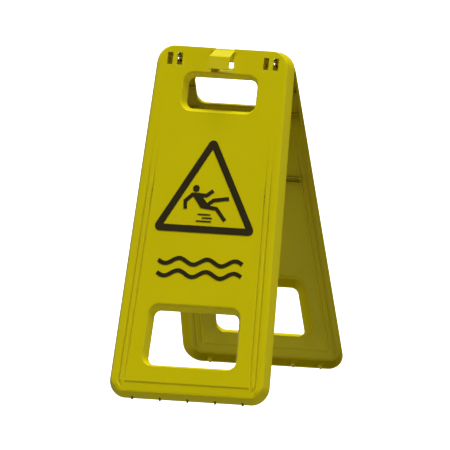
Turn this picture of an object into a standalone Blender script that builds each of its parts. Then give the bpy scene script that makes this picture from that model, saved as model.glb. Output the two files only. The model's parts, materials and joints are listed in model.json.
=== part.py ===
"""Folding wet floor sign: two tray-shaped panels that hinge near the top.

Metres, +Z up. The origin is on the floor, midway between the feet of the two panels, and the
front panel faces -Y. Each panel is modelled in its own frame, in which x runs across it, height
runs up along it from its bottom edge, and depth runs from its face towards the other panel.
"""
import math

import bmesh
import bpy
from mathutils import Vector
from mathutils.geometry import area_tri

# Whole sign
TILT = math.radians(19.0)            # lean of each panel when the sign is open
STOP_GAP = 0.0003                    # from each panel's top edge to the middle plane
HINGE_HEIGHT = 0.600                 # of the hinge axis, along the panel
HINGE_DEPTH = 0.0184                 # of the hinge axis, behind the face
FOOT_DROP = 0.0014                   # feet stand this far below the panel's bottom edge

# Panel outline, measured over the outermost edge of its rim
LENGTH = 0.6237
LOW_HALF = 0.1495
HIGH_HALF = 0.1264
LOW_RADIUS = 0.032
HIGH_RADIUS = 0.0315
REAR_DROP = 0.0045                   # the rear panel's top edge is this much lower
WALL = 0.0024
RIM_DEPTH = 0.018
LIP = 0.0012                         # upright band at the end of the rim and of each collar
RIM_FLARES = (0.0085, 0.0098, 0.0)   # sides, bottom, top
RIM_FILLET = 0.0024
RIM_LEGS = (0.0024, 0.0024, 0.0008)  # of the fillet, along the face: sides, bottom, top
INNER_LEGS = (0.0024, 0.0012, 0.0024)
FILLET_SHARES = (0.0, 0.33, 0.67, 1.0)

# Two pressed grooves with a bead between them: side and bottom distances from the outline
GROOVE_DEPTH = 0.0016
GROOVE_HALF = 0.0027
GROOVES = ((0.0220, 0.0166), (0.0318, 0.0275))
TOP_SHARE = 0.35                     # at the top the rings lie closer together than at the sides
FADE_START = 0.475
FADE_FULL = 0.330
SMALL_RADIUS = 0.0045

# Openings in the face: lower and upper half width, lower and upper height, corner radius
HANDLE = (0.0694, 0.0694, 0.510, 0.578, 0.019)
WINDOW = (0.0887, 0.0850, 0.057, 0.166, 0.0195)
COLLAR_DEPTH = 0.0162
HANDLE_TAPER = (0.006, 0.006, 0.006)           # of its collar: sides, bottom, top
WINDOW_TAPER = (0.0072, 0.0037, 0.0092)
COLLAR_FILLET = 0.0025
COLLAR_SHARES = (0.0, 0.4, 0.75, 1.0)

# Hinge stations: a slot over a forked lug, a slot over a single arm and a rib that joins them.
# Roots are distances above and below the hinge axis, arcs are angles from the upward direction.
STATION = 0.089
LUG_OFFSET = 0.009
SLOT_WIDTH = 0.0098
SLOT = (0.5899, 0.6112)              # lower and upper height
LUG_RADIUS = 0.0046
CHEEK = 0.0024
CHEEK_ROOTS = (0.012, -0.012)
CHEEK_ARC = (20, 160)
ARM_WIDTH = 0.0052
ARM_SHIFT = 0.0018
ARM_ROOTS = (0.016, 0.0112)
ARM_ARC = (38, 270)
BRIDGE_HALF = 0.0145
BRIDGE = (0.604, 0.6056, 0.010)      # lower and upper height, depth
BORE_LENGTH = 0.045
PIN_RADIUS = 0.0020
PIN_HEAD_RADIUS = 0.0033
PIN_HEAD = 0.0017
PIN_PLAY = 0.0004
PIN_CHAMFER = 0.0007
PIN_BARB = 0.0003
CLEARANCE = 0.0003

# Hanging hook at the top centre of the front panel: a hollow hood whose top slopes down from the
# top edge, and a plate that hangs from its outer edge. Each panel has a window at that place.
HOOK_BACK = 0.0088                   # depth at which the slope reaches the top edge
HOOK_BEND = (0.6056, -0.0207)        # height and depth of its outer edge
HOOK_TIP = 0.5832
HOOK_SEAT = 0.5998
HOOK_HALF = 0.0186
HOOK_DRAFT = 0.030                   # the half width grows by this much of the reach
HOOK_WALL = 0.0026
HOOD_WALL = 0.0030
HOOD_ROOM = -0.0130                  # depth of the front end of the room inside
FRONT_WINDOW = (0.0205, 0.5805, 0.5994)         # half width, lower and upper height
REAR_WINDOW = (0.0205, 0.5805, 0.6045)

# Stiffening ribs on the inside: height, inner and outer x
RIB_THICKNESS = 0.0014
RIB_DEPTH = 0.0055
SIDE_RIBS = (0.540, 0.498)
SIDE_RIB_SPAN = (0.068, 0.118)
CROSS_RIBS = (0.371, 0.361)
CROSS_RIB_HALF = 0.108

# Feet
FOOT_SPACING = 0.0513
FOOT_COUNT = 5
FOOT_RADIUS = 0.0018
FOOT_LENGTH = 0.0065
FOOT_EDGE = 0.0004
FOOT_DEPTH = 0.0146                  # where the foot's axis meets the bottom edge's level
BOSS_HALF = 0.0032
BOSS = ((0.0064, 0.0100), (0.0012, 0.0166), (0.0012, 0.0176), (0.0064, 0.0176))

# Cut film graphics on each face, as (x, height)
FILM = 0.0003
TRIANGLE = ((-0.0975, 0.296), (0.0975, 0.296), (0.0, 0.4695))
TRIANGLE_RADIUS = 0.009
TRIANGLE_INNER_RADIUS = 0.0008
TRIANGLE_BAND = 0.0123
HEAD = (-0.0224, 0.3738, 0.0062)
LIMB_HALF = 0.0033
TORSO = ((-0.031, 0.3655), (-0.0105, 0.3395), (0.004, 0.3385), (0.003, 0.3465), (-0.016, 0.3665))
LIMBS = (
    ((-0.039, 0.337), (-0.0405, 0.351), (-0.028, 0.3628), (-0.0024, 0.3622), (0.0095, 0.3715)),
    ((-0.003, 0.3425), (0.012, 0.3545), (0.040, 0.3590)),
    ((-0.006, 0.3425), (0.0185, 0.3400), (0.0365, 0.3195)),
)
SPLASHES = ((-0.003, 0.3285, 0.011), (0.003, 0.3225, 0.0085), (-0.003, 0.3165, 0.013))
SPLASH_HALF = 0.0012
WAVES = (0.2445, 0.2225)
WAVE_HALF_LENGTH = 0.078
WAVE_LENGTH = 0.052
WAVE_SWING = 0.0052
WAVE_HALF = 0.0036

# Facets and shading
SMOOTH_BELOW = math.radians(35)
ARC_STEPS = 7
OPENING_STEPS = 5
SIDE_STEPS = 7
ROUND_STEPS = 20
CHEEK_STEPS = 8
ARM_STEPS = 12
FILM_CORNER_STEPS = 8
FILM_INNER_STEPS = 2
CAP_STEPS = 6
HEAD_STEPS = 24
WAVE_STEPS = 48
WELD = 0.000005

TAU = 2 * math.pi


# Scene ------------------------------------------------------------------------------------

def clear_scene():
    for item in list(bpy.data.objects):
        bpy.data.objects.remove(item, do_unlink=True)


def new_collection(name):
    collection = bpy.data.collections.new(name)
    bpy.context.scene.collection.children.link(collection)
    return collection


def material(name, colour, roughness):
    made = bpy.data.materials.new(name)
    made.use_nodes = True
    shader = made.node_tree.nodes["Principled BSDF"]
    shader.inputs["Base Color"].default_value = (*colour, 1.0)
    shader.inputs["Roughness"].default_value = roughness
    shader.inputs["Metallic"].default_value = 0.0
    return made


clear_scene()
SIGN = new_collection("wet_floor_sign")
FITTINGS = new_collection("fittings")
CUTS = new_collection("cuts")
LIMB_SHAPES = new_collection("limb_shapes")
YELLOW = material("moulded_yellow", (0.46, 0.40, 0.006), 0.42)
PIN_GREY = material("pin_nylon", (0.10, 0.10, 0.10), 0.45)
RUBBER = material("foot_rubber", (0.045, 0.042, 0.035), 0.85)
BLACK = material("film_black", (0.012, 0.010, 0.008), 0.40)


# Points and outlines ----------------------------------------------------------------------

def at(x, height, depth):
    """A point of the panel, in the frame whose origin is the middle of the hinge axis."""
    return Vector((x, depth - HINGE_DEPTH, height - HINGE_HEIGHT))


def trapezoid(sizes, side, low_inset, high_inset):
    """Corners of a symmetric trapezoid moved inwards, anticlockwise from the lower left."""
    low_half, high_half, low, high = sizes
    slope = (high_half - low_half) / (high - low)
    shift = side * math.hypot(1, slope)

    def half(height):
        return low_half + slope * (height - low) - shift

    bottom = low + low_inset
    top = high - high_inset
    return [(-half(bottom), bottom), (half(bottom), bottom), (half(top), top), (-half(top), top)]


def rounded(corners, radii, arc_steps, side_steps=1):
    """Outline of a convex polygon, an arc at each corner and evenly spaced points between."""
    arcs = []
    for index, corner in enumerate(corners):
        here = Vector(corner)
        back = (Vector(corners[index - 1]) - here).normalized()
        ahead = (Vector(corners[(index + 1) % len(corners)]) - here).normalized()
        radius = radii[index]
        half_angle = back.angle(ahead) / 2
        centre = here + (back + ahead).normalized() * radius / math.sin(half_angle)
        start = here + back * radius / math.tan(half_angle) - centre
        turn = math.pi - 2 * half_angle
        first = math.atan2(start.y, start.x)
        steps = [first + turn * step / arc_steps for step in range(arc_steps + 1)]
        arcs.append([centre + radius * Vector((math.cos(a), math.sin(a))) for a in steps])
    points = []
    for index, arc in enumerate(arcs):
        points += arc
        following = arcs[(index + 1) % len(arcs)][0]
        points += [arc[-1].lerp(following, step / side_steps) for step in range(1, side_steps)]
    return points


def bezier(first, middle, last, share):
    return (1 - share) ** 2 * first + 2 * share * (1 - share) * middle + share ** 2 * last


# Panel ------------------------------------------------------------------------------------

def stop_depth(height):
    """Depth at which a point of this height meets the middle plane of the open sign."""
    above = height - HINGE_HEIGHT
    return HINGE_DEPTH - (STOP_GAP + above * math.sin(TILT)) / math.cos(TILT)


def fade(height):
    """0 where the face is plain, near the top, and 1 where the grooves have their full depth."""
    share = min(1.0, max(0.0, (FADE_START - height) / (FADE_START - FADE_FULL)))
    return share * share * (3 - 2 * share)


def panel_ring(insets, drop, depth_at):
    """A ring inside the outline, by its side, bottom and top insets; the depth follows the height.

    Drop is how much lower this panel's top edge is.
    """
    side, low_inset, high_inset = insets
    low_radius = max(LOW_RADIUS - (side + low_inset) / 2, SMALL_RADIUS)
    high_radius = max(HIGH_RADIUS - (side + high_inset) / 2, SMALL_RADIUS)
    corners = trapezoid((LOW_HALF, HIGH_HALF, 0.0, LENGTH), side, low_inset, high_inset + drop)
    radii = (low_radius, low_radius, high_radius, high_radius)
    outline = rounded(corners, radii, ARC_STEPS, SIDE_STEPS)
    return [at(p.x, p.y, depth_at(p.y)) for p in outline]


def lip_ring(inset, back, drop):
    """A ring this far before the end of the rim, which is lower where the two panels meet."""
    return panel_ring([inset] * 3, drop, lambda height: min(RIM_DEPTH, stop_depth(height)) - back)


def fillet_rings(starts, corners, legs, start_depth, end_depth, drop):
    """Over a fillet whose corner has these insets, from the rim onto the face."""
    rings = []
    for share in FILLET_SHARES:
        insets = [bezier(s, c, c + leg, share) for s, c, leg in zip(starts, corners, legs)]
        depth = bezier(start_depth, end_depth, end_depth, share)
        rings.append(panel_ring(insets, drop, lambda height, depth=depth: depth))
    return rings


def groove_rings(base, drop):
    rings = []
    for side, low_inset in GROOVES:
        for across in (-1, 0, 1):
            shift = across * GROOVE_HALF
            insets = (side + shift, low_inset + shift, (side + shift) * TOP_SHARE)
            depth = GROOVE_DEPTH * (1 - abs(across))
            rings.append(panel_ring(insets, drop, lambda height, depth=depth: base + depth * fade(height)))
    return rings


def rim_insets(depth):
    """Side, bottom and top insets of the rim's outer surface at a depth."""
    return [flare * (1 - depth / (RIM_DEPTH - LIP)) for flare in RIM_FLARES]


def outer_rings(drop):
    rings = [lip_ring(0.0, 0.0, drop), lip_ring(0.0, LIP, drop)]
    rings += fillet_rings(rim_insets(RIM_FILLET), RIM_FLARES, RIM_LEGS, RIM_FILLET, 0.0, drop)
    return rings + groove_rings(0.0, drop)


def inner_rings(drop):
    """The back of the same skin, from the lip inwards."""
    slant = WALL * math.hypot(RIM_FLARES[0], RIM_DEPTH - LIP) / (RIM_DEPTH - LIP)
    shifts = (slant, slant, WALL)
    start = WALL + RIM_FILLET
    starts = [inset + shift for inset, shift in zip(rim_insets(start), shifts)]
    corners = [inset + shift for inset, shift in zip(rim_insets(WALL), shifts)]
    rings = [lip_ring(WALL, 0.0, drop), lip_ring(WALL, LIP, drop)]
    rings += fillet_rings(starts, corners, INNER_LEGS, start, WALL, drop)
    return rings + groove_rings(WALL, drop)


def collar_profile(tapers):
    """Insets and depth down a narrowing collar, round its lip and back up to the inner face."""
    wall = COLLAR_DEPTH - LIP
    falls = [taper / wall for taper in tapers]
    backs = [WALL * math.hypot(1, fall) for fall in falls]
    profile = []
    for share in COLLAR_SHARES:
        insets = [bezier(-COLLAR_FILLET, 0, COLLAR_FILLET * fall, share) for fall in falls]
        profile.append((insets, bezier(0, 0, COLLAR_FILLET, share)))
    profile += [(tapers, wall), (tapers, COLLAR_DEPTH), ([taper - WALL for taper in tapers], COLLAR_DEPTH)]
    for depth in (wall - LIP, WALL):
        profile.append(([depth * fall - back for fall, back in zip(falls, backs)], depth))
    return profile


def collar_rings(opening, tapers):
    *sizes, radius = opening
    rings = []
    for insets, depth in collar_profile(tapers):
        outline = rounded(trapezoid(sizes, *insets), [radius - insets[0]] * 4, OPENING_STEPS)
        rings.append([at(p.x, p.y, depth) for p in outline])
    return rings


def loft(mesh, rings):
    """Quads between each ring and the next; returns the rings' vertices."""
    loops = [[mesh.verts.new(point) for point in ring] for ring in rings]
    for near, far in zip(loops, loops[1:]):
        for index in range(len(near)):
            mesh.faces.new((near[index - 1], near[index], far[index], far[index - 1]))
    return loops


def fill(mesh, borders):
    """A flat field inside the first border and outside the others."""
    edges = []
    for border in borders:
        edges += [mesh.edges.get((border[i - 1], border[i])) for i in range(len(border))]
    bmesh.ops.triangle_fill(mesh, edges=edges, use_beauty=True)


def panel_skin(drop):
    """The tray with its two collars, as one closed skin."""
    mesh = bmesh.new()
    loops = loft(mesh, outer_rings(drop)[::-1] + inner_rings(drop))
    fronts = [loops[0]]
    backs = [loops[-1]]
    for opening, tapers in ((HANDLE, HANDLE_TAPER), (WINDOW, WINDOW_TAPER)):
        collar = loft(mesh, collar_rings(opening, tapers))
        fronts.append(collar[0])
        backs.append(collar[-1])
    fill(mesh, fronts)
    fill(mesh, backs)
    bmesh.ops.triangulate(mesh, faces=mesh.faces)
    bmesh.ops.recalc_face_normals(mesh, faces=mesh.faces)
    data = bpy.data.meshes.new("panel_skin")
    mesh.to_mesh(data)
    mesh.free()
    return data


# Solids -----------------------------------------------------------------------------------

def add(name, data, collection):
    item = bpy.data.objects.new(name, data)
    collection.objects.link(item)
    if collection is not SIGN:
        item.hide_render = True
        item.display_type = "WIRE"
    return item


def prism(name, outlines, thickness):
    """Mesh of flat outlines given as (x, y), thickened equally both ways along z."""
    curve = bpy.data.curves.new(name, "CURVE")
    curve.dimensions = "2D"
    curve.fill_mode = "BOTH"
    curve.extrude = thickness / 2
    for outline in outlines:
        spline = curve.splines.new("POLY")
        spline.points.add(len(outline) - 1)
        for point, place in zip(spline.points, outline):
            point.co = (place[0], place[1], 0.0, 1.0)
        spline.use_cyclic_u = True
    shape = bpy.data.objects.new(name, curve)
    bpy.context.scene.collection.objects.link(shape)
    bpy.context.view_layer.update()
    evaluated = shape.evaluated_get(bpy.context.evaluated_depsgraph_get())
    data = bpy.data.meshes.new_from_object(evaluated)
    bpy.data.objects.remove(shape)
    bpy.data.curves.remove(curve)
    mesh = bmesh.new()
    mesh.from_mesh(data)
    bmesh.ops.remove_doubles(mesh, verts=mesh.verts, dist=WELD)
    bmesh.ops.recalc_face_normals(mesh, faces=mesh.faces)
    mesh.to_mesh(data)
    mesh.free()
    return data


def side_prism(name, outline, x, thickness, collection):
    """A plate across x, whose outline is given as (height, depth) and whose middle is at x."""
    data = prism(name, [outline], thickness)
    for vertex in data.vertices:
        height, depth, across = vertex.co
        vertex.co = at(x + across, height, depth)
    return add(name, facing_out(data), collection)


def facing_out(data):
    mesh = bmesh.new()
    mesh.from_mesh(data)
    bmesh.ops.recalc_face_normals(mesh, faces=mesh.faces)
    mesh.to_mesh(data)
    mesh.free()
    return data


def box(name, low, high, collection):
    """A box between two corners given as (x, height, depth)."""
    mesh = bmesh.new()
    bmesh.ops.create_cube(mesh, size=1)
    near = at(*low)
    far = at(*high)
    for vertex in mesh.verts:
        vertex.co = [near[i] + (far[i] - near[i]) * (vertex.co[i] + 0.5) for i in range(3)]
    bmesh.ops.recalc_face_normals(mesh, faces=mesh.faces)
    data = bpy.data.meshes.new(name)
    mesh.to_mesh(data)
    mesh.free()
    return add(name, data, collection)


def cylinder(name, radius, length, collection):
    """A cylinder along z, centred on its object's origin."""
    mesh = bmesh.new()
    bmesh.ops.create_cone(mesh, cap_ends=True, segments=ROUND_STEPS, radius1=radius, radius2=radius,
                          depth=length)
    data = bpy.data.meshes.new(name)
    mesh.to_mesh(data)
    mesh.free()
    return add(name, data, collection)


def arc(centre, radius, first, last, steps):
    angles = [math.radians(first + (last - first) * step / steps) for step in range(steps + 1)]
    return [(centre[0] + radius * math.cos(a), centre[1] + radius * math.sin(a)) for a in angles]


# Fittings on the inside and the hook on the outside ----------------------------------------

def make_lugs():
    """At each station a fork of two cheeks on the left, an arm on the right and a rib above."""
    eye = (HINGE_HEIGHT, HINGE_DEPTH)
    skin = WALL / 2
    cheek_top, cheek_low = [(HINGE_HEIGHT + root, skin) for root in CHEEK_ROOTS]
    arm_top, arm_low = [(HINGE_HEIGHT + root, skin) for root in ARM_ROOTS]
    cheek = [cheek_top, *arc(eye, LUG_RADIUS, *CHEEK_ARC, CHEEK_STEPS), cheek_low]
    arm = [arm_top, *arc(eye, LUG_RADIUS, *ARM_ARC, ARM_STEPS), arm_low]
    low, high, depth = BRIDGE
    for side in (-1, 1):
        station = side * STATION
        for edge in (-1, 1):
            x = station - LUG_OFFSET + edge * (SLOT_WIDTH + CHEEK) / 2
            side_prism("cheek", cheek, x, CHEEK, FITTINGS)
        side_prism("arm", arm, station + LUG_OFFSET + ARM_SHIFT, ARM_WIDTH, FITTINGS)
        box("bridge", (station - BRIDGE_HALF, low, skin), (station + BRIDGE_HALF, high, depth), FITTINGS)


def below_slope(distance):
    """The line this far below the hood's sloping top, by two (height, depth) points."""
    back = Vector((LENGTH, HOOK_BACK))
    bend = Vector(HOOK_BEND)
    along = (bend - back).normalized()
    down = Vector((along.y, -along.x)) * distance
    return back + down, bend + down


def on_line(line, depth):
    """The point of a line at this depth."""
    back, bend = line
    return back.lerp(bend, (depth - back.y) / (bend.y - back.y))


def make_hook():
    """The hood with its hanging plate, the room inside it and the corner cut off above its slope."""
    front = HOOK_BEND[1]
    top = below_slope(0.0)
    backing = below_slope(HOOK_WALL)
    ceiling = below_slope(HOOD_WALL)
    skin = WALL / 2
    inside = WALL + skin
    hood = [*top, (HOOK_TIP, front), (HOOK_TIP, front + HOOK_WALL), (HOOK_SEAT, front + HOOK_WALL),
            (HOOK_SEAT, skin), on_line(backing, skin), backing[0]]
    floor = HOOK_SEAT + HOOD_WALL
    room = [on_line(ceiling, inside), on_line(ceiling, HOOD_ROOM), (floor, HOOD_ROOM), (floor, inside)]
    beyond = on_line(top, 2 * HOOK_BACK)
    corner = [beyond, on_line(top, 0.0), (beyond.x, -skin)]
    for outline, extra, collection in ((hood, 0.0, FITTINGS), (corner, 0.0, CUTS), (room, -HOOD_WALL, CUTS)):
        widen(side_prism("hook", outline, 0.0, 2 * HOOK_HALF, collection), extra)


def widen(piece, extra):
    """Gives a prism the hood's draft, wider towards the front, and this much more on each side."""
    for vertex in piece.data.vertices:
        depth = vertex.co.y + HINGE_DEPTH
        vertex.co.x = math.copysign(HOOK_HALF - depth * HOOK_DRAFT + extra, vertex.co.x)


def make_ribs():
    for height in SIDE_RIBS:
        for side in (-1, 1):
            near, far = sorted(side * x for x in SIDE_RIB_SPAN)
            box("rib", (near, height, WALL / 2), (far, height + RIB_THICKNESS, RIB_DEPTH), FITTINGS)
    for height in CROSS_RIBS:
        box("rib", (-CROSS_RIB_HALF, height, WALL / 2), (CROSS_RIB_HALF, height + RIB_THICKNESS, RIB_DEPTH),
            FITTINGS)


def foot_x(index):
    return (index - (FOOT_COUNT - 1) / 2) * FOOT_SPACING


def foot_centre(x):
    """Middle of a foot, which stands upright once the panel leans."""
    level = at(x, 0.0, FOOT_DEPTH)
    lip = at(x, 0.0, RIM_DEPTH)
    up = Vector((0, -math.sin(TILT), math.cos(TILT)))
    return level + up * ((lip - level).dot(up) - FOOT_DROP + FOOT_LENGTH / 2)


def make_bosses():
    """A block behind each foot, on the inside of the flared bottom edge."""
    for index in range(FOOT_COUNT):
        x = foot_x(index)
        side_prism("boss", BOSS, x, 2 * BOSS_HALF, FITTINGS)
        hole = cylinder("foot_hole", FOOT_RADIUS + CLEARANCE, FOOT_LENGTH + 2 * CLEARANCE, CUTS)
        hole.rotation_euler.x = TILT
        hole.location = foot_centre(x)


def make_cuts(window):
    middle = WALL / 2
    for side in (-1, 1):
        for offset in (-LUG_OFFSET, LUG_OFFSET):
            x = side * STATION + offset
            box("slot", (x - SLOT_WIDTH / 2, SLOT[0], middle - WALL),
                (x + SLOT_WIDTH / 2, SLOT[1], middle + WALL), CUTS)
        bore = cylinder("bore", PIN_RADIUS + CLEARANCE, BORE_LENGTH, CUTS)
        bore.rotation_euler.y = math.pi / 2
        bore.location.x = side * STATION
    half, low, high = window
    box("hook_window", (-half, low, middle - WALL), (half, high, middle + WALL), CUTS)


def combine(item, operation, collection):
    joined = item.modifiers.new(operation.lower(), "BOOLEAN")
    joined.operation = operation
    joined.operand_type = "COLLECTION"
    joined.collection = collection
    joined.solver = "EXACT"
    joined.use_self = operation == "UNION"


def baked(item):
    """The finished mesh of an object that is itself no longer needed."""
    bpy.context.view_layer.update()
    evaluated = item.evaluated_get(bpy.context.evaluated_depsgraph_get())
    data = bpy.data.meshes.new_from_object(evaluated)
    bpy.data.objects.remove(item)
    return data


def empty(collection):
    for item in list(collection.objects):
        bpy.data.objects.remove(item)


def make_panel_mesh(drop, hooked):
    """The tray with its lugs, ribs and bosses added and its holes cut; the front one has the hook."""
    panel = add("tray", panel_skin(drop), SIGN)
    make_lugs()
    make_ribs()
    make_bosses()
    make_cuts(FRONT_WINDOW if hooked else REAR_WINDOW)
    if hooked:
        make_hook()
    combine(panel, "UNION", FITTINGS)
    combine(panel, "DIFFERENCE", CUTS)
    data = baked(panel)
    empty(FITTINGS)
    empty(CUTS)
    return data


# Loose pieces -----------------------------------------------------------------------------

def make_pin(name, side):
    """A turned pin with a head at its outer end and a snap barb at the other."""
    half = LUG_OFFSET + SLOT_WIDTH / 2 + CHEEK + PIN_PLAY
    end = half + PIN_HEAD
    profile = [(0.0, end), (PIN_HEAD_RADIUS - PIN_CHAMFER, end), (PIN_HEAD_RADIUS, end - PIN_CHAMFER),
               (PIN_HEAD_RADIUS, half), (PIN_RADIUS, half), (PIN_RADIUS, -half),
               (PIN_RADIUS + PIN_CHAMFER, -half - PIN_BARB), (PIN_RADIUS - PIN_CHAMFER, -end), (0.0, -end)]
    mesh = bmesh.new()
    points = [mesh.verts.new((radius, 0.0, z)) for radius, z in profile]
    for first, second in zip(points, points[1:]):
        mesh.edges.new((first, second))
    data = bpy.data.meshes.new(name)
    mesh.to_mesh(data)
    mesh.free()
    pin = add(name, data, SIGN)
    turned = pin.modifiers.new("turned", "SCREW")
    turned.steps = turned.render_steps = ROUND_STEPS
    turned.use_merge_vertices = True
    turned.merge_threshold = WELD
    pin.rotation_euler.y = side * math.pi / 2
    pin.location.x = side * STATION
    return pin


def make_foot_mesh():
    foot = cylinder("foot", FOOT_RADIUS, FOOT_LENGTH, SIGN)
    edge = foot.modifiers.new("edge", "BEVEL")
    edge.width = FOOT_EDGE
    edge.segments = 1
    return baked(foot)


def film(outlines):
    """Mesh of a piece of cut film just in front of the face; outlines are (x, height)."""
    data = prism("film", outlines, FILM)
    for vertex in data.vertices:
        x, height, across = vertex.co
        vertex.co = at(x, height, across - CLEARANCE - FILM / 2)
    return facing_out(data)


def stroke(points, half):
    """Outline of a broken line of even width, mitred at its bends and cut square at its ends."""
    points = [Vector(point) for point in points]
    ways = [(after - before).normalized() for before, after in zip(points, points[1:])]
    left = []
    right = []
    for index, point in enumerate(points):
        before = ways[max(index - 1, 0)]
        after = ways[min(index, len(ways) - 1)]
        mitre = (before + after).normalized().orthogonal()
        mitre *= half / mitre.dot(after.orthogonal())
        left.append(point + mitre)
        right.append(point - mitre)
    return right + left[::-1]


def stadium(start, end, half):
    """Outline of a stroke with round ends."""
    along = math.degrees(math.atan2(end[1] - start[1], end[0] - start[0]))
    first, last = along - 90, along + 90
    return [*arc(end, half, first, last, CAP_STEPS), *arc(start, half, last, first + 360, CAP_STEPS)]


def wave(height):
    """Outline of a wavy stroke centred on x = 0, cut off at its ends."""
    upper = []
    lower = []
    for step in range(WAVE_STEPS + 1):
        x = WAVE_HALF_LENGTH * (2 * step / WAVE_STEPS - 1)
        phase = TAU * x / WAVE_LENGTH
        slope = WAVE_SWING * TAU / WAVE_LENGTH * math.cos(phase)
        normal = Vector((-slope, 1)).normalized() * WAVE_HALF
        middle = Vector((x, height + WAVE_SWING * math.sin(phase)))
        upper.append(middle + normal)
        lower.append(middle - normal)
    return lower + upper[::-1]


def inset_triangle(corners, band):
    """The triangle whose sides lie this far inside the given ones."""
    points = [Vector(corner) for corner in corners]
    sides = [(points[index - 1] - points[index - 2]).length for index in range(3)]
    centre = sum((point * side for point, side in zip(points, sides)), Vector((0, 0))) / sum(sides)
    radius = 2 * area_tri(*points) / sum(sides)
    return [centre.lerp(point, 1 - band / radius) for point in points]


def make_figure_mesh():
    """A figure losing its footing: a torso with its arms and legs in one outline."""
    body = add("figure", film([TORSO]), SIGN)
    for points in LIMBS:
        add("limb", film([stroke(points, LIMB_HALF)]), LIMB_SHAPES)
    combine(body, "UNION", LIMB_SHAPES)
    return baked(body)


def make_graphics():
    """A warning triangle with a slipping figure, and two water waves below it, by name."""
    outer = rounded(TRIANGLE, [TRIANGLE_RADIUS] * 3, FILM_CORNER_STEPS)
    inner = rounded(inset_triangle(TRIANGLE, TRIANGLE_BAND), [TRIANGLE_INNER_RADIUS] * 3, FILM_INNER_STEPS)
    x, height, radius = HEAD
    made = {
        "triangle": film([outer, inner]),
        "figure_head": film([arc((x, height), radius, 0, 360, HEAD_STEPS)[1:]]),
        "figure_body": make_figure_mesh(),
    }
    for index, (x, height, half) in enumerate(SPLASHES):
        made[f"splash_{index + 1}"] = film([stadium((x - half, height), (x + half, height), SPLASH_HALF)])
    for index, height in enumerate(WAVES):
        made[f"wave_{index + 1}"] = film([wave(height)])
    return made


# Assembly ---------------------------------------------------------------------------------

def hinge_empty(name, facing):
    """The frame of one panel, on the hinge axis; facing turns it round to the other side."""
    lip = at(0.0, 0.0, RIM_DEPTH)
    height = FOOT_DROP + lip.y * math.sin(TILT) - lip.z * math.cos(TILT)
    frame = bpy.data.objects.new(name, None)
    frame.empty_display_size = 0.05
    frame.location.z = height
    frame.rotation_euler = (-TILT, 0.0, facing)
    SIGN.objects.link(frame)
    return frame


def finish(pieces, frame, finish_material):
    for piece in pieces:
        piece.parent = frame
        piece.data.materials.clear()
        piece.data.materials.append(finish_material)
        piece.data.shade_smooth()
        piece.data.set_sharp_from_angle(angle=SMOOTH_BELOW)


def make_side(face, facing, panel_mesh, foot_mesh, graphics):
    frame = hinge_empty(face + "_frame", facing)
    panel = add(face + "_panel", panel_mesh, SIGN)
    feet = []
    for index in range(FOOT_COUNT):
        foot = add(f"{face}_foot_{index + 1}", foot_mesh, SIGN)
        foot.rotation_euler.x = TILT
        foot.location = foot_centre(foot_x(index))
        feet.append(foot)
    films = [add(f"{face}_{name}", data, SIGN) for name, data in graphics.items()]
    finish([panel], frame, YELLOW)
    finish(feet, frame, RUBBER)
    finish(films, frame, BLACK)
    return frame


def main():
    front_panel = make_panel_mesh(0.0, hooked=True)
    rear_panel = make_panel_mesh(REAR_DROP, hooked=False)
    shared = (make_foot_mesh(), make_graphics())
    front = make_side("front", 0.0, front_panel, *shared)
    make_side("rear", math.pi, rear_panel, *shared)
    empty(LIMB_SHAPES)
    pins = [make_pin("hinge_pin_left", -1), make_pin("hinge_pin_right", 1)]
    finish(pins, front, PIN_GREY)


main()
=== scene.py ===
import json
import math

import bmesh
import bpy
from mathutils import Matrix, Vector

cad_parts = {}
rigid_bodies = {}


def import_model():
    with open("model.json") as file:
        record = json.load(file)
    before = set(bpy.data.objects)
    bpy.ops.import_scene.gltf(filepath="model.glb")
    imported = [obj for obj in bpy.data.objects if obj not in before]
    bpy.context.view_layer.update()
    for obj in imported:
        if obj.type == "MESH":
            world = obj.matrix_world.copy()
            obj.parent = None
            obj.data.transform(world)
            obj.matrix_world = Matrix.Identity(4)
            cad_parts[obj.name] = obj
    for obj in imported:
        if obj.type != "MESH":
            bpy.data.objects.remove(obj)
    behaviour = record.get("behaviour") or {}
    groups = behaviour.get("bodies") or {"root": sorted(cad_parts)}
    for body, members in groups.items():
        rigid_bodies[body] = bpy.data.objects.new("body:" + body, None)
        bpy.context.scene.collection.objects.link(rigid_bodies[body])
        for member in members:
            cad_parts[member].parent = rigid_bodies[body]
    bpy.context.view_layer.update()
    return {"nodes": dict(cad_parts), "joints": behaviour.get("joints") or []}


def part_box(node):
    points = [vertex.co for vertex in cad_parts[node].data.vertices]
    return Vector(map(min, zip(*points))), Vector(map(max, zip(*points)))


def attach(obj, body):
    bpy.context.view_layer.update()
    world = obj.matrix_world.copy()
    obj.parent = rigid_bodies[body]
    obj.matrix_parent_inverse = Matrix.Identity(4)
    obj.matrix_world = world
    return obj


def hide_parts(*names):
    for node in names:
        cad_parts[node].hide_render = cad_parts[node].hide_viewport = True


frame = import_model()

fold = frame["joints"][0]
HINGE = Vector(fold["pos_m"])
TILT = math.radians(fold["range_deg"][1]) / 2
TAU = 2 * math.pi

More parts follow.
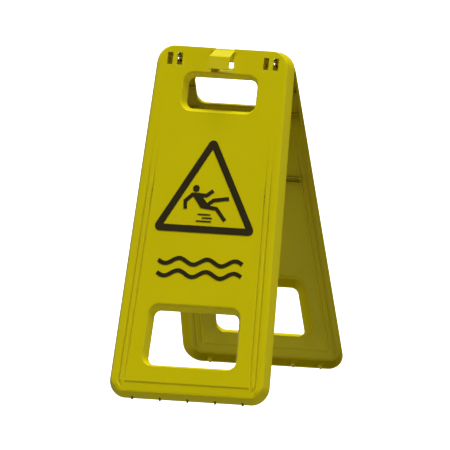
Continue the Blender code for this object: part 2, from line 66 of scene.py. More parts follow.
# Panel, as in the CAD model
HINGE_HEIGHT = 0.600
HINGE_DEPTH = 0.0184
STOP_GAP = 0.0003
LENGTH = 0.6237
LOW_HALF = 0.1495
HIGH_HALF = 0.1264
LOW_RADIUS = 0.032
HIGH_RADIUS = 0.0315
REAR_DROP = 0.0045                            # the rear panel's top edge is this much lower
WALL = 0.0024
RIM_DEPTH = 0.018
LIP = 0.0012
LIP_ROUND = 0.0005
ROUND_SHARE = 0.3                             # of that radius, at the middle point of the round
FLARES = (0.0085, 0.0098, 0.0)                # of the rim: sides, bottom, top
FACE_LEGS = (0.0085, 0.0036, 0.0008)          # of the fillet between rim and face, along the face
RIM_LEG = 0.0026                              # of the same fillet, along the rim
INNER_LEG = 0.0036                            # of the fillet on the back of the skin
INNER_GAP = 0.0003                            # between that fillet and the relief

# The bead between two grooves. 0 is the middle of the outer groove, 1 of the inner one.
RELIEF_SIDE = (0.0220, 0.0098)
RELIEF_LOW = (0.0166, 0.0109)
RELIEF_SPAN = (-0.30, 1.34)
TOP_SHARE = 0.35                              # of the side inset that the rings keep at the top
GROOVE_HALF = 0.30
GROOVE_DEPTH = 0.0024
BEAD_RISE = 0.0003
SMALL_RADIUS = 0.0045                         # least corner radius of a ring
GROOVE_FADE = (0.475, 0.330)                  # heights at which they start and are full
BEAD_FADE = (0.480, 0.440)

# Along the bottom they give way to a band that is lower than the field and falls towards the rim
BAND_STEP = (1.14, 0.80)                      # places between which it drops from the field
BAND_FOOT = 0.0011                            # depth below that step
BAND_END = 0.0016                             # depth at the rim
BAND_FADE = 0.012                             # height over which it ends up the corners

# Openings: lower and upper half width, lower and upper height, corner radius. Tapers of their
# collars and legs of the fillets, along the face: sides, bottom, top.
HANDLE = (0.0694, 0.0694, 0.510, 0.578, 0.019)
HANDLE_TAPERS = (0.006, 0.006, 0.006)
HANDLE_LEGS = (0.0016, 0.0012, 0.0034)
WINDOW = (0.0887, 0.0850, 0.057, 0.166, 0.0195)
WINDOW_TAPERS = (0.0072, 0.0037, 0.0092)
WINDOW_LEGS = (0.0016, 0.0012, 0.0040)
OPENINGS = ((HANDLE, HANDLE_TAPERS, HANDLE_LEGS), (WINDOW, WINDOW_TAPERS, WINDOW_LEGS))
COLLAR_DEPTH = 0.0162
COLLAR_LEG = 0.0024                           # of the same fillets, along the wall
COLLAR_ROOT = 0.0012                          # leg of the fillet between collar and inner face
RIDGE = (0.0010, 0.0052, 0.0012)              # round that root: inner and outer reach, rise

# Hinge stations: a slot over a forked lug, a slot over a single arm and a rib that joins them.
# Roots are distances above and below the hinge axis, arcs are angles from the upward direction.
STATION = 0.089
LUG_OFFSET = 0.009
SLOT_WIDTH = 0.0098
SLOT = (0.5899, 0.6112)                       # lower and upper height
SLOT_CORNER = 0.0006
LUG_RADIUS = 0.0046
CHEEK = 0.0024
CHEEK_EDGE = 0.0003
CHEEK_ROOTS = (0.012, -0.012)
CHEEK_ARC = (20, 160)
ARM_WIDTH = 0.0052
ARM_SHIFT = 0.0018
ARM_EDGE = 0.0004
ARM_ROOTS = (0.016, 0.0112)
ARM_ARC = (38, 270)
BRIDGE_HALF = 0.0145
BRIDGE = (0.604, 0.6056, 0.010)               # lower and upper height, depth
BRIDGE_EDGE = 0.0002
BORE_RADIUS = 0.0023
BORE_LENGTH = 0.045

# Hanging hook of the front panel, a hollow hood with a plate, and the window behind it
HOOK_BACK = 0.0088                            # depth at which its slope reaches the top edge
HOOK_BEND = (0.6056, -0.0207)                 # height and depth of its outer edge
HOOK_TIP = 0.5832
HOOK_SEAT = 0.5998
HOOK_HALF = 0.0186
HOOK_DRAFT = 0.030                            # the half width grows by this much of the reach
HOOK_WALL = 0.0026
HOOK_EDGE = 0.0006
HOOD_WALL = 0.0030
HOOD_ROOM = -0.0130                           # depth of the front end of the room inside
FRONT_WINDOW = (0.0205, 0.5805, 0.5994)       # half width, lower and upper height
REAR_WINDOW = (0.0205, 0.5805, 0.6045)
WINDOW_CORNER = 0.0012

# Ribs, feet and bosses
RIB_THICKNESS = 0.0014
RIB_DEPTH = 0.0055
RIB_DRAFT = 0.0002
RIB_EDGE = 0.0003
SIDE_RIBS = (0.540, 0.498)
SIDE_RIB_SPAN = (0.068, 0.118)
CROSS_RIBS = (0.371, 0.361)
CROSS_RIB_HALF = 0.108
BOSS_HALF = 0.0032
BOSS = ((0.0064, 0.0100), (0.0012, 0.0166), (0.0012, 0.0176), (0.0064, 0.0176))
BOSS_EDGE = 0.0006
FOOT_HOLE_RADIUS = 0.0021
FOOT_HOLE_SPARE = 0.0006                      # how much longer than its foot a hole is

# Surfaces. Noise sizes are cycles in each metre, ranges are from and to.
FLOW_NOISE = 7.0
FLOW_RANGE = (0.35, 0.65)
FLOW_SHARE = 0.5
FLOW_DARKER = 0.955
# Painted shade: the colour is darkened in the creases, standing in for the shade that falls there
CREASE_SHADE_RANGE = (0.44, 0.497)                  # of the pointiness, for the painted shade in the creases
CREASE_SHADE_SHARE = 0.85
CREASE_SHADE_DARKER = 0.35
EDGE_RANGE = (0.52, 0.60)                     # of the pointiness, for the pale edges
EDGE_SHARE = 0.9
WEAR_NOISE = 60.0
MOTTLE_NOISE = 35.0
MOTTLE_RANGE = (0.3, 0.7)
MOTTLE = (-0.04, 0.05)                        # least and greatest change of the roughness
GRAIN_NOISE = 1800.0
GRAIN_DEPTH = 0.0001
REFRACTION = 1.45
SHINE = 0.30
SHARP_ANGLE = 30
NORMAL_WEIGHT = 60

# Light from the floor and from the room around
FLOOR_LIGHT = 0.22
ROOM_LIGHT = 0.01
HORIZON = 0.1                                 # half the height of the fade between them
FLOOR_RADIUS = 12.0
FLOOR_GREY = 0.30
FLOOR_GLOW = 1.6

# Suns: name, direction, apparent size in degrees, strength
SUNS = (
    ("top", (0.0, -0.06, 1.0), 30, 3.2),
    ("low", (0.0, -0.80, -0.60), 40, 0.22),
    ("right", (0.97, -0.20, 0.15), 50, 0.50),
    ("left", (-0.97, -0.20, 0.15), 50, 0.20),
)

# Camera, round the sign from straight ahead and up from the horizon
CAMERA_AZIMUTH = 20
CAMERA_ELEVATION = 10
CAMERA_TARGET = (-0.0026, 0.0, 0.282)
CAMERA_WIDTH = 0.785
STAND_OFF = 3.0                               # of the camera and the suns, from their targets
SUN_TARGET = (0, 0, 0.3)

# Smoothness of the meshes
CORNER_STEPS = 20
SIDE_STEPS = 30
OPENING_STEPS = 16
OPENING_SIDE_STEPS = 6
FILLET_STEPS = 12
RELIEF_STEPS = 34
EYE_STEPS = 24
CHEEK_STEPS = 16
HOLE_STEPS = 40


# Outlines -----------------------------------------------------------------------------------

def at(x, height, depth):
    """A point of the panel, in the frame whose origin is the middle of the hinge axis."""
    return Vector((x, depth - HINGE_DEPTH, height - HINGE_HEIGHT))


def trapezoid(sizes, side, low_inset, high_inset):
    """Corners of a symmetric trapezoid moved inwards, anticlockwise from the lower left."""
    low_half, high_half, low, high = sizes
    slope = (high_half - low_half) / (high - low)
    shift = side * math.hypot(1, slope)

    def half(height):
        return low_half + slope * (height - low) - shift

    bottom = low + low_inset
    top = high - high_inset
    return [(-half(bottom), bottom), (half(bottom), bottom), (half(top), top), (-half(top), top)]


def rounded(corners, radii, arc_steps, side_steps=1):
    """Outline of a convex polygon, an arc at each corner and evenly spaced points between."""
    arcs = []
    for index, corner in enumerate(corners):
        here = Vector(corner)
        back = (Vector(corners[index - 1]) - here).normalized()
        ahead = (Vector(corners[(index + 1) % len(corners)]) - here).normalized()
        half_angle = back.angle(ahead) / 2
        centre = here + (back + ahead).normalized() * radii[index] / math.sin(half_angle)
        start = here + back * radii[index] / math.tan(half_angle) - centre
        first = math.atan2(start.y, start.x)
        turn = math.pi - 2 * half_angle
        steps = [first + turn * step / arc_steps for step in range(arc_steps + 1)]
        arcs.append([centre + radii[index] * Vector((math.cos(a), math.sin(a))) for a in steps])
    points = []
    for index, arc_points in enumerate(arcs):
        points += arc_points
        following = arcs[(index + 1) % len(arcs)][0]
        points += [arc_points[-1].lerp(following, step / side_steps) for step in range(1, side_steps)]
    return points


def arc(centre, radius, first, last, steps):
    angles = [math.radians(first + (last - first) * step / steps) for step in range(steps + 1)]
    return [(centre[0] + radius * math.cos(a), centre[1] + radius * math.sin(a)) for a in angles]


def bezier(first, middle, last, share):
    return (1 - share) ** 2 * first + 2 * share * (1 - share) * middle + share ** 2 * last


def smooth(value, start, full):
    """0 at start, 1 at full, with a soft beginning and end."""
    share = min(1.0, max(0.0, (value - start) / (full - start)))
    return share * share * (3 - 2 * share)


# Panel skin ---------------------------------------------------------------------------------

def stop_depth(height):
    """Depth at which a point of this height meets the middle plane of the open sign."""
    above = height - HINGE_HEIGHT
    return HINGE_DEPTH - (STOP_GAP + above * math.sin(TILT)) / math.cos(TILT)


def ring(insets, drop, depth):
    """A ring inside the outline, by its side, bottom and top insets; depth is a function of the height.

    Drop is how much lower this panel's top edge is.
    """
    side, low_inset, high_inset = insets
    low_radius = max(LOW_RADIUS - (side + low_inset) / 2, SMALL_RADIUS)
    high_radius = max(HIGH_RADIUS - (side + high_inset) / 2, SMALL_RADIUS)
    corners = trapezoid((LOW_HALF, HIGH_HALF, 0.0, LENGTH), side, low_inset, high_inset + drop)
    radii = (low_radius, low_radius, high_radius, high_radius)
    outline = rounded(corners, radii, CORNER_STEPS, SIDE_STEPS)
    return [at(p.x, p.y, depth(p.y)) for p in outline]


def lip_ring(inset, back, drop):
    """A ring this far before the end of the rim, which is lower where the panels meet."""
    return ring([inset] * 3, drop, lambda height: min(RIM_DEPTH, stop_depth(height)) - back)


def low_share(above):
    """1 along the bottom edge of a ring and 0 from some way up its corners."""
    return smooth(above, BAND_FADE, 0.0)


def relief(place, height, above):
    """Depth of the two grooves less the rise of the bead between them, or of the low band."""
    def bump(middle):
        share = min(1.0, abs(place - middle) / GROOVE_HALF)
        return (1 + math.cos(math.pi * share)) / 2

    grooves = (bump(0) + bump(1)) * GROOVE_DEPTH * smooth(height, *GROOVE_FADE)
    bead = bump(0.5) * BEAD_RISE * smooth(height, *BEAD_FADE)
    slope = min(1.0, max(0.0, (BAND_STEP[1] - place) / (BAND_STEP[1] - RELIEF_SPAN[0])))
    band = BAND_FOOT * smooth(place, *BAND_STEP) + (BAND_END - BAND_FOOT) * slope
    low = low_share(above)
    return (grooves - bead) * (1 - low) + band * low


def relief_rings(base, drop):
    """From the band inside the rim, over both grooves and the bead, to the flat field."""
    rings = []
    for step in range(RELIEF_STEPS + 1):
        place = RELIEF_SPAN[0] + (RELIEF_SPAN[1] - RELIEF_SPAN[0]) * step / RELIEF_STEPS
        side = RELIEF_SIDE[0] + RELIEF_SIDE[1] * place
        low = RELIEF_LOW[0] + RELIEF_LOW[1] * place

        def depth(height, place=place, low=low):
            return base + relief(place, height, height - low)

        rings.append(ring((side, low, side * TOP_SHARE), drop, depth))
    return rings


def fillet_rings(starts, corners, legs, start_depth, end_depth, drop):
    """Over a fillet whose corner lies at these insets, from the rim onto the face."""
    rings = []
    for step in range(FILLET_STEPS + 1):
        share = step / FILLET_STEPS
        insets = [bezier(s, c, c + leg, share) for s, c, leg in zip(starts, corners, legs)]

        def depth(height, share=share, low=insets[1]):
            end = end_depth + BAND_END * low_share(height - low)
            return bezier(start_depth, end, end, share)

        rings.append(ring(insets, drop, depth))
    return rings


def rim_insets(depth):
    """Insets of the rim's outer surface at a depth: sides, bottom, top."""
    return [flare * (1 - depth / (RIM_DEPTH - LIP)) for flare in FLARES]


def outer_rings(drop):
    """The front of the skin, from the lip of the rim to the field."""
    edge = LIP_ROUND
    middle = edge * ROUND_SHARE
    lip = ((edge, 0), (middle, middle), (0, edge), (0, LIP))
    rings = [lip_ring(inset, back, drop) for inset, back in lip]
    half_way = RIM_DEPTH / 2
    rings.append(ring(rim_insets(half_way), drop, lambda height: half_way))
    rings += fillet_rings(rim_insets(RIM_LEG), FLARES, FACE_LEGS, RIM_LEG, 0.0, drop)
    return rings + relief_rings(0.0, drop)


def inner_rings(drop):
    """The back of the skin, from the lip inwards."""
    slant = math.hypot(FLARES[0], RIM_DEPTH - LIP) / (RIM_DEPTH - LIP)
    shifts = (WALL * slant, WALL * slant, WALL)
    edge = LIP_ROUND
    middle = edge * ROUND_SHARE
    lip = ((WALL - edge, 0), (WALL - middle, middle), (WALL, edge), (WALL, LIP * 0.8))
    rings = [lip_ring(inset, back, drop) for inset, back in lip]
    start = WALL + INNER_LEG
    starts = [inset + shift for inset, shift in zip(rim_insets(start), shifts)]
    corners = [inset + shift for inset, shift in zip(rim_insets(WALL), shifts)]
    relief_start = RELIEF_LOW[0] + RELIEF_LOW[1] * RELIEF_SPAN[0]
    legs = (INNER_LEG, relief_start - corners[1] - INNER_GAP, INNER_LEG)
    rings += fillet_rings(starts, corners, legs, start, WALL, drop)
    return rings + relief_rings(WALL, drop)


def collar_profile(tapers, legs):
    """Insets and depth down the collar, round its lip and back up its outside to the inner face."""
    wall = COLLAR_DEPTH - LIP
    falls = [taper / wall for taper in tapers]
    backs = [WALL * math.hypot(1, fall) for fall in falls]
    steps = [step / FILLET_STEPS for step in range(FILLET_STEPS + 1)]
    profile = []
    for share in steps:
        insets = [bezier(-leg, 0, COLLAR_LEG * fall, share) for leg, fall in zip(legs, falls)]
        profile.append((insets, bezier(0, 0, COLLAR_LEG, share)))
    profile.append(([taper / 2 for taper in tapers], wall / 2))
    edge = LIP_ROUND
    middle = edge * ROUND_SHARE
    lip = [(0, LIP), (0, edge), (middle, middle), (edge, 0), (WALL - edge, 0)]
    lip += [(WALL - middle, middle), (WALL, edge)]
    profile += [([taper - inwards for taper in tapers], COLLAR_DEPTH - back) for inwards, back in lip]
    low = wall - LIP
    profile.append(([low * fall - back for fall, back in zip(falls, backs)], low))
    start = WALL + COLLAR_ROOT
    for share in steps:
        insets = []
        for fall, back in zip(falls, backs):
            foot = WALL * fall - back
            insets.append(bezier(start * fall - back, foot, foot - COLLAR_ROOT, share))
        profile.append((insets, bezier(start, WALL, WALL, share)))
    near, far, rise = RIDGE
    for share in steps:
        reach = COLLAR_ROOT + near + (far - near) * share
        insets = [WALL * fall - back - reach for fall, back in zip(falls, backs)]
        profile.append((insets, WALL + rise * (1 - math.cos(TAU * share)) / 2))
    return profile


def collar_rings(opening, tapers, legs):
    *sizes, radius = opening
    rings = []
    for insets, depth in collar_profile(tapers, legs):
        radii = [radius - insets[0]] * 4
        outline = rounded(trapezoid(sizes, *insets), radii, OPENING_STEPS, OPENING_SIDE_STEPS)
        rings.append([at(p.x, p.y, depth) for p in outline])
    return rings


def loft(mesh, rings):
    """Quads between each ring and the next; returns the rings' vertices."""
    loops = [[mesh.verts.new(point) for point in points] for points in rings]
    for near, far in zip(loops, loops[1:]):
        for index in range(len(near)):
            mesh.faces.new((near[index - 1], near[index], far[index], far[index - 1]))
    return loops


def fill(mesh, borders):
    """A flat field inside the first border and outside the others."""
    edges = []
    for border in borders:
        edges += [mesh.edges.get((border[i - 1], border[i])) for i in range(len(border))]
    bmesh.ops.triangle_fill(mesh, edges=edges, use_beauty=True)


def to_data(mesh, name):
    bmesh.ops.recalc_face_normals(mesh, faces=mesh.faces)
    data = bpy.data.meshes.new(name)
    mesh.to_mesh(data)
    mesh.free()
    return data


def skin_data(drop):
    """The tray with its two collars, as one closed skin."""
    mesh = bmesh.new()
    loops = loft(mesh, outer_rings(drop)[::-1] + inner_rings(drop))
    fronts = [loops[0]]
    backs = [loops[-1]]
    for opening, tapers, legs in OPENINGS:
        collar = loft(mesh, collar_rings(opening, tapers, legs))
        fronts.append(collar[0])
        backs.append(collar[-1])
    fill(mesh, fronts)
    fill(mesh, backs)
    return to_data(mesh, "skin")


# Solids joined to the skin or cut from it ---------------------------------------------------

def add(name, data):
    item = bpy.data.objects.new(name, data)
    bpy.context.scene.collection.objects.link(item)
    return item


def baked(item):
    """The finished mesh of an object that is itself no longer needed."""
    bpy.context.view_layer.update()
    evaluated = item.evaluated_get(bpy.context.evaluated_depsgraph_get())
    data = bpy.data.meshes.new_from_object(evaluated)
    bpy.data.objects.remove(item)
    return data


def slab(outline, thickness, place, round_off=0.0, round_steps=2):
    """A plate of a flat outline; place turns (x, y, across) of the outline into a point."""
    mesh = bmesh.new()
    low = [mesh.verts.new((p[0], p[1], -thickness / 2)) for p in outline]
    face = mesh.faces.new(low)
    grown = bmesh.ops.extrude_face_region(mesh, geom=[face])["geom"]
    top = [item for item in grown if isinstance(item, bmesh.types.BMVert)]
    bmesh.ops.translate(mesh, verts=top, vec=(0, 0, thickness))
    item = add("slab", to_data(mesh, "slab"))
    if round_off:
        bevel = item.modifiers.new("edges", "BEVEL")
        bevel.width = round_off
        bevel.segments = round_steps
        bevel.limit_method = "ANGLE"
        bevel.angle_limit = math.radians(50)
    data = baked(item)
    for vertex in data.vertices:
        vertex.co = place(*vertex.co)
    mesh = bmesh.new()
    mesh.from_mesh(data)
    return to_data(mesh, "slab")


def side_slab(outline, x, thickness, round_off=0.0, round_steps=2):
    """A plate across x, whose outline is given as (height, depth)."""
    return slab(outline, thickness, lambda height, depth, across: at(x + across, height, depth),
                round_off, round_steps)


def face_slab(outline, low_depth, high_depth, round_off=0.0):
    """A plate parallel to the face, whose outline is given as (x, height)."""
    middle = (low_depth + high_depth) / 2
    return slab(outline, high_depth - low_depth, lambda x, height, across: at(x, height, middle + across),
                round_off)


def rectangle(x, half, low, high, radius):
    corners = [(x - half, low), (x + half, low), (x + half, high), (x - half, high)]
    return rounded(corners, [radius] * 4, 4)


def lugs():
    """At each station a fork of two cheeks on the left, an arm on the right and a rib above."""
    eye = (HINGE_HEIGHT, HINGE_DEPTH)
    skin = WALL / 2
    cheek_top, cheek_low = [(HINGE_HEIGHT + root, skin) for root in CHEEK_ROOTS]
    arm_top, arm_low = [(HINGE_HEIGHT + root, skin) for root in ARM_ROOTS]
    cheek = [cheek_top, *arc(eye, LUG_RADIUS, *CHEEK_ARC, CHEEK_STEPS), cheek_low]
    arm = [arm_top, *arc(eye, LUG_RADIUS, *ARM_ARC, EYE_STEPS), arm_low]
    low, high, depth = BRIDGE
    bridge = [(low, skin), (low, depth), (high, depth), (high, skin)]
    made = []
    for side in (-1, 1):
        station = side * STATION
        for edge in (-1, 1):
            x = station - LUG_OFFSET + edge * (SLOT_WIDTH + CHEEK) / 2
            made.append(side_slab(cheek, x, CHEEK, CHEEK_EDGE, 1))
        made.append(side_slab(arm, station + LUG_OFFSET + ARM_SHIFT, ARM_WIDTH, ARM_EDGE))
        made.append(side_slab(bridge, station, 2 * BRIDGE_HALF, BRIDGE_EDGE, 1))
    return made


def below_slope(distance):
    """The line this far below the hood's sloping top, by two (height, depth) points."""
    back = Vector((LENGTH, HOOK_BACK))
    bend = Vector(HOOK_BEND)
    along = (bend - back).normalized()
    down = Vector((along.y, -along.x)) * distance
    return back + down, bend + down


def on_line(line, depth):
    """The point of a line at this depth."""
    back, bend = line
    return back.lerp(bend, (depth - back.y) / (bend.y - back.y))


def drafted(data, extra):
    """Gives a slab the hood's draft, wider towards the front, and this much more on each side."""
    for vertex in data.vertices:
        half = HOOK_HALF - (vertex.co.y + HINGE_DEPTH) * HOOK_DRAFT + extra
        vertex.co.x *= half / HOOK_HALF
    return data


def hook():
    """The hood, with a plate that hangs from its outer edge."""
    front = HOOK_BEND[1]
    skin = WALL / 2
    backing = below_slope(HOOK_WALL)
    hood = [*below_slope(0.0), (HOOK_TIP, front), (HOOK_TIP, front + HOOK_WALL),
            (HOOK_SEAT, front + HOOK_WALL), (HOOK_SEAT, skin), on_line(backing, skin), backing[0]]
    return drafted(side_slab(hood, 0.0, 2 * HOOK_HALF, HOOK_EDGE, 3), 0.0)


def hook_cuts():
    """The room inside the hood, and the corner of the top edge above its slope."""
    top = below_slope(0.0)
    ceiling = below_slope(HOOD_WALL)
    inside = 1.5 * WALL
    floor = HOOK_SEAT + HOOD_WALL
    room = [on_line(ceiling, inside), on_line(ceiling, HOOD_ROOM), (floor, HOOD_ROOM), (floor, inside)]
    beyond = on_line(top, 2 * HOOK_BACK)
    corner = [beyond, on_line(top, 0.0), (beyond.x, -WALL / 2)]
    pairs = ((corner, 0.0), (room, -HOOD_WALL))
    return [drafted(side_slab(outline, 0.0, 2 * HOOK_HALF), extra) for outline, extra in pairs]


def ribs():
    """Short ribs beside the carry opening and two long ones across the tray."""
    made = []
    spans = [(height, *sorted((side * SIDE_RIB_SPAN[0], side * SIDE_RIB_SPAN[1])))
             for height in SIDE_RIBS for side in (-1, 1)]
    spans += [(height, -CROSS_RIB_HALF, CROSS_RIB_HALF) for height in CROSS_RIBS]
    for height, near, far in spans:
        outline = [(height - RIB_DRAFT, WALL / 2), (height, RIB_DEPTH), (height + RIB_THICKNESS, RIB_DEPTH),
                   (height + RIB_THICKNESS + RIB_DRAFT, WALL / 2)]
        made.append(side_slab(outline, (near + far) / 2, far - near, RIB_EDGE))
    return made


def foot_names(face):
    return [name for name in frame["nodes"] if name.startswith(face + "_foot_")]


def bosses(feet):
    return [side_slab(BOSS, foot.x, 2 * BOSS_HALF, BOSS_EDGE) for foot in feet]


def cuts(window):
    """The slots over the lugs and the window behind the hook."""
    made = []
    for side in (-1, 1):
        for offset in (-LUG_OFFSET, LUG_OFFSET):
            outline = rectangle(side * STATION + offset, SLOT_WIDTH / 2, *SLOT, SLOT_CORNER)
            made.append(face_slab(outline, -WALL, 2 * WALL))
    half, low, high = window
    made.append(face_slab(rectangle(0.0, half, low, high, WINDOW_CORNER), -WALL, 2 * WALL))
    return made


def cylinder(radius, length, matrix):
    mesh = bmesh.new()
    bmesh.ops.create_cone(mesh, cap_ends=True, segments=HOLE_STEPS, radius1=radius, radius2=radius,
                          depth=length)
    bmesh.ops.transform(mesh, matrix=matrix, verts=mesh.verts)
    return to_data(mesh, "cylinder")


def bores(feet, foot_length):
    """The holes for the hinge pins and the feet."""
    made = [cylinder(BORE_RADIUS, BORE_LENGTH, Matrix.Translation((side * STATION, 0, 0))
                     @ Matrix.Rotation(math.pi / 2, 4, "Y")) for side in (-1, 1)]
    for foot in feet:
        matrix = Matrix.Translation(foot) @ Matrix.Rotation(TILT, 4, "X")
        made.append(cylinder(FOOT_HOLE_RADIUS, foot_length + FOOT_HOLE_SPARE, matrix))
    return made


def combine(base, solids, operation):
    """Base with all the solids joined to it or cut from it."""
    tools = bpy.data.collections.new(operation)
    for data in solids:
        tools.objects.link(bpy.data.objects.new("tool", data))
    item = add("base", base)
    joined = item.modifiers.new(operation, "BOOLEAN")
    joined.operation = operation
    joined.operand_type = "COLLECTION"
    joined.collection = tools
    joined.solver = "EXACT"
    joined.use_self = operation == "UNION"
    data = baked(item)
    for tool in list(tools.objects):
        bpy.data.objects.remove(tool)
    bpy.data.collections.remove(tools)
    return data


def panel_frame(face):
    """From the panel's own frame to the world."""
    facing = Matrix.Rotation(0.0 if face == "front" else math.pi, 4, "Z")
    return Matrix.Translation(HINGE) @ facing @ Matrix.Rotation(-TILT, 4, "X")


def panel_data(drop, hooked):
    """The moulding of one panel; only the front one has the hook."""
    inverse = panel_frame("front").inverted()
    boxes = [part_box(name) for name in foot_names("front")]
    feet = [inverse @ ((low + high) / 2) for low, high in boxes]
    foot_length = boxes[0][1].z - boxes[0][0].z
    added = [*lugs(), *ribs(), *bosses(feet)]
    removed = [*cuts(FRONT_WINDOW if hooked else REAR_WINDOW), *bores(feet, foot_length)]
    if hooked:
        added.append(hook())
        removed += hook_cuts()
    data = combine(skin_data(drop), added, "UNION")
    return combine(data, removed, "DIFFERENCE")


def shade(item):
    item.data.shade_smooth()
    item.data.set_sharp_from_angle(angle=math.radians(SHARP_ANGLE))
    weighted = item.modifiers.new("normals", "WEIGHTED_NORMAL")
    weighted.keep_sharp = True
    weighted.weight = NORMAL_WEIGHT


# Materials ----------------------------------------------------------------------------------

def shader_nodes(name):
    made = bpy.data.materials.new(name)
    made.use_nodes = True
    return made, made.node_tree.nodes, made.node_tree.links, made.node_tree.nodes["Principled BSDF"]


def noise(nodes, links, coordinates, scale, detail=3.0, roughness=0.5):
    made = nodes.new("ShaderNodeTexNoise")
    made.inputs["Scale"].default_value = scale
    made.inputs["Detail"].default_value = detail
    made.inputs["Roughness"].default_value = roughness
    links.new(coordinates, made.inputs["Vector"])
    return made.outputs["Fac"]


def span(nodes, links, value, low, high, to_low, to_high):
    made = nodes.new("ShaderNodeMapRange")
    for socket, number in zip(("From Min", "From Max", "To Min", "To Max"), (low, high, to_low, to_high)):
        made.inputs[socket].default_value = number
    links.new(value, made.inputs["Value"])
    return made.outputs["Result"]


def blend_colour(nodes, links, share, first, second):
    made = nodes.new("ShaderNodeMix")
    made.data_type = "RGBA"
    links.new(share, made.inputs["Factor"])
    for socket, colour in (("A", first), ("B", second)):
        target = next(i for i in made.inputs if i.name == socket and i.type == "RGBA")
        if isinstance(colour, tuple):
            target.default_value = (*colour, 1.0)
        else:
            links.new(colour, target)
    return next(o for o in made.outputs if o.type == "RGBA")


def moulded(name, colour, paler, roughness, grain):
    """Moulded plastic: slight flow shading, painted shade in the creases, a fine texture, and paler edges.
    """
    made, nodes, links, shader = shader_nodes(name)
    coordinates = nodes.new("ShaderNodeTexCoord").outputs["Object"]
    pointiness = nodes.new("ShaderNodeNewGeometry").outputs["Pointiness"]

    flow = noise(nodes, links, coordinates, FLOW_NOISE, 2.0)
    flow = span(nodes, links, flow, *FLOW_RANGE, 0.0, FLOW_SHARE)
    body = blend_colour(nodes, links, flow, colour, tuple(channel * FLOW_DARKER for channel in colour))
    # painted shade: the base colour darkens in the creases and at the roots of the fittings, where shade
    # falls
    hollow = span(nodes, links, pointiness, *CREASE_SHADE_RANGE, CREASE_SHADE_SHARE, 0.0)
    body = blend_colour(nodes, links, hollow, body, tuple(channel * CREASE_SHADE_DARKER for channel in colour))
    edge = span(nodes, links, pointiness, *EDGE_RANGE, 0.0, EDGE_SHARE)
    worn = nodes.new("ShaderNodeMath")
    worn.operation = "MULTIPLY"
    links.new(edge, worn.inputs[0])
    links.new(noise(nodes, links, coordinates, WEAR_NOISE), worn.inputs[1])
    links.new(blend_colour(nodes, links, worn.outputs["Value"], body, paler), shader.inputs["Base Color"])

    mottle = noise(nodes, links, coordinates, MOTTLE_NOISE)
    mottle = span(nodes, links, mottle, *MOTTLE_RANGE, *(roughness + change for change in MOTTLE))
    links.new(mottle, shader.inputs["Roughness"])
    bump = nodes.new("ShaderNodeBump")
    bump.inputs["Strength"].default_value = grain
    bump.inputs["Distance"].default_value = GRAIN_DEPTH
    links.new(noise(nodes, links, coordinates, GRAIN_NOISE, 2.0), bump.inputs["Height"])
    links.new(bump.outputs["Normal"], shader.inputs["Normal"])
    shader.inputs["IOR"].default_value = REFRACTION
    shader.inputs["Specular IOR Level"].default_value = SHINE
    return made


# The sign -----------------------------------------------------------------------------------

YELLOW = moulded("moulded_yellow", (0.85, 0.725, 0.0006), (0.92, 0.84, 0.06), 0.38, 0.20)
NYLON = moulded("pin_nylon", (0.06, 0.055, 0.045), (0.12, 0.12, 0.11), 0.40, 0.30)
RUBBER = moulded("foot_rubber", (0.22, 0.18, 0.012), (0.26, 0.22, 0.04), 0.75, 0.8)
FILM = moulded("film_black", (0.030, 0.022, 0.004), (0.05, 0.04, 0.012), 0.45, 0.25)


def make_panels():
    for face, drop in (("front", 0.0), ("rear", REAR_DROP)):
        panel = add(face + "_panel_moulding", panel_data(drop, face == "front"))
        panel.data.materials.clear()
        panel.data.materials.append(YELLOW)
        panel.data.transform(panel_frame(face))
        shade(panel)
        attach(panel, face)
        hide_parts(face + "_panel")


def dress_nodes():
    """The small CAD pieces keep their shape and take their materials."""
    finishes = {"pin": NYLON, "foot": RUBBER}
    for name, node in frame["nodes"].items():
        finish = next((made for key, made in finishes.items() if key in name), FILM)
        node.data.materials.clear()
        node.data.materials.append(finish)


# Stage, light and camera --------------------------------------------------------------------

def aim(item, direction, target):
    """Puts an item away from the target in this direction, looking at it along -Z."""
    direction = Vector(direction).normalized()
    item.location = Vector(target) + direction * STAND_OFF
    item.rotation_euler = direction.to_track_quat("Z", "Y").to_euler()


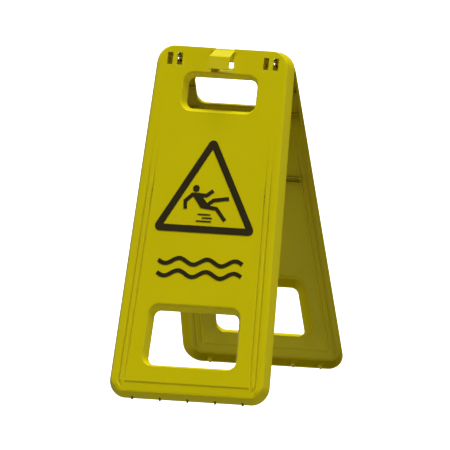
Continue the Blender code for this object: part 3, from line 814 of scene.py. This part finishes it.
def make_sun(name, direction, spread, strength):
    """An even, soft light from far away."""
    light = bpy.data.lights.new(name, "SUN")
    light.angle = math.radians(spread)
    light.energy = strength
    aim(add(name, light), direction, SUN_TARGET)


def make_stage():
    """A plain white floor that is only seen; its light on the sign comes from the world."""
    mesh = bmesh.new()
    bmesh.ops.create_circle(mesh, cap_ends=True, segments=64, radius=FLOOR_RADIUS)
    floor = add("floor", to_data(mesh, "floor"))
    made, _, _, shader = shader_nodes("floor_white")
    shader.inputs["Base Color"].default_value = (FLOOR_GREY, FLOOR_GREY, FLOOR_GREY, 1.0)
    shader.inputs["Roughness"].default_value = 0.9
    shader.inputs["Specular IOR Level"].default_value = 0.0
    shader.inputs["Emission Color"].default_value = (1.0, 1.0, 1.0, 1.0)
    shader.inputs["Emission Strength"].default_value = FLOOR_GLOW
    floor.data.materials.append(made)
    floor.visible_diffuse = False
    floor.visible_glossy = False
    floor.visible_shadow = False


def make_world():
    """A dim room over a bright floor, whose light comes from below."""
    world = bpy.data.worlds.new("studio")
    world.use_nodes = True
    nodes = world.node_tree.nodes
    links = world.node_tree.links
    split = nodes.new("ShaderNodeSeparateXYZ")
    links.new(nodes.new("ShaderNodeTexCoord").outputs["Generated"], split.inputs["Vector"])
    strength = span(nodes, links, split.outputs["Z"], -HORIZON, HORIZON, FLOOR_LIGHT, ROOM_LIGHT)
    links.new(strength, nodes["Background"].inputs["Strength"])
    nodes["Background"].inputs["Color"].default_value = (1.0, 1.0, 1.0, 1.0)
    bpy.context.scene.world = world


def make_camera():
    camera = bpy.data.cameras.new("camera")
    camera.type = "ORTHO"
    camera.ortho_scale = CAMERA_WIDTH
    camera.clip_end = 30
    item = add("camera", camera)
    azimuth = math.radians(CAMERA_AZIMUTH)
    elevation = math.radians(CAMERA_ELEVATION)
    back = (math.sin(azimuth) * math.cos(elevation), -math.cos(azimuth) * math.cos(elevation),
            math.sin(elevation))
    aim(item, back, CAMERA_TARGET)
    bpy.context.scene.camera = item


make_panels()
dress_nodes()
make_stage()
make_world()
for sun in SUNS:
    make_sun(*sun)
make_camera()
bpy.context.scene.view_settings.view_transform = "Standard"
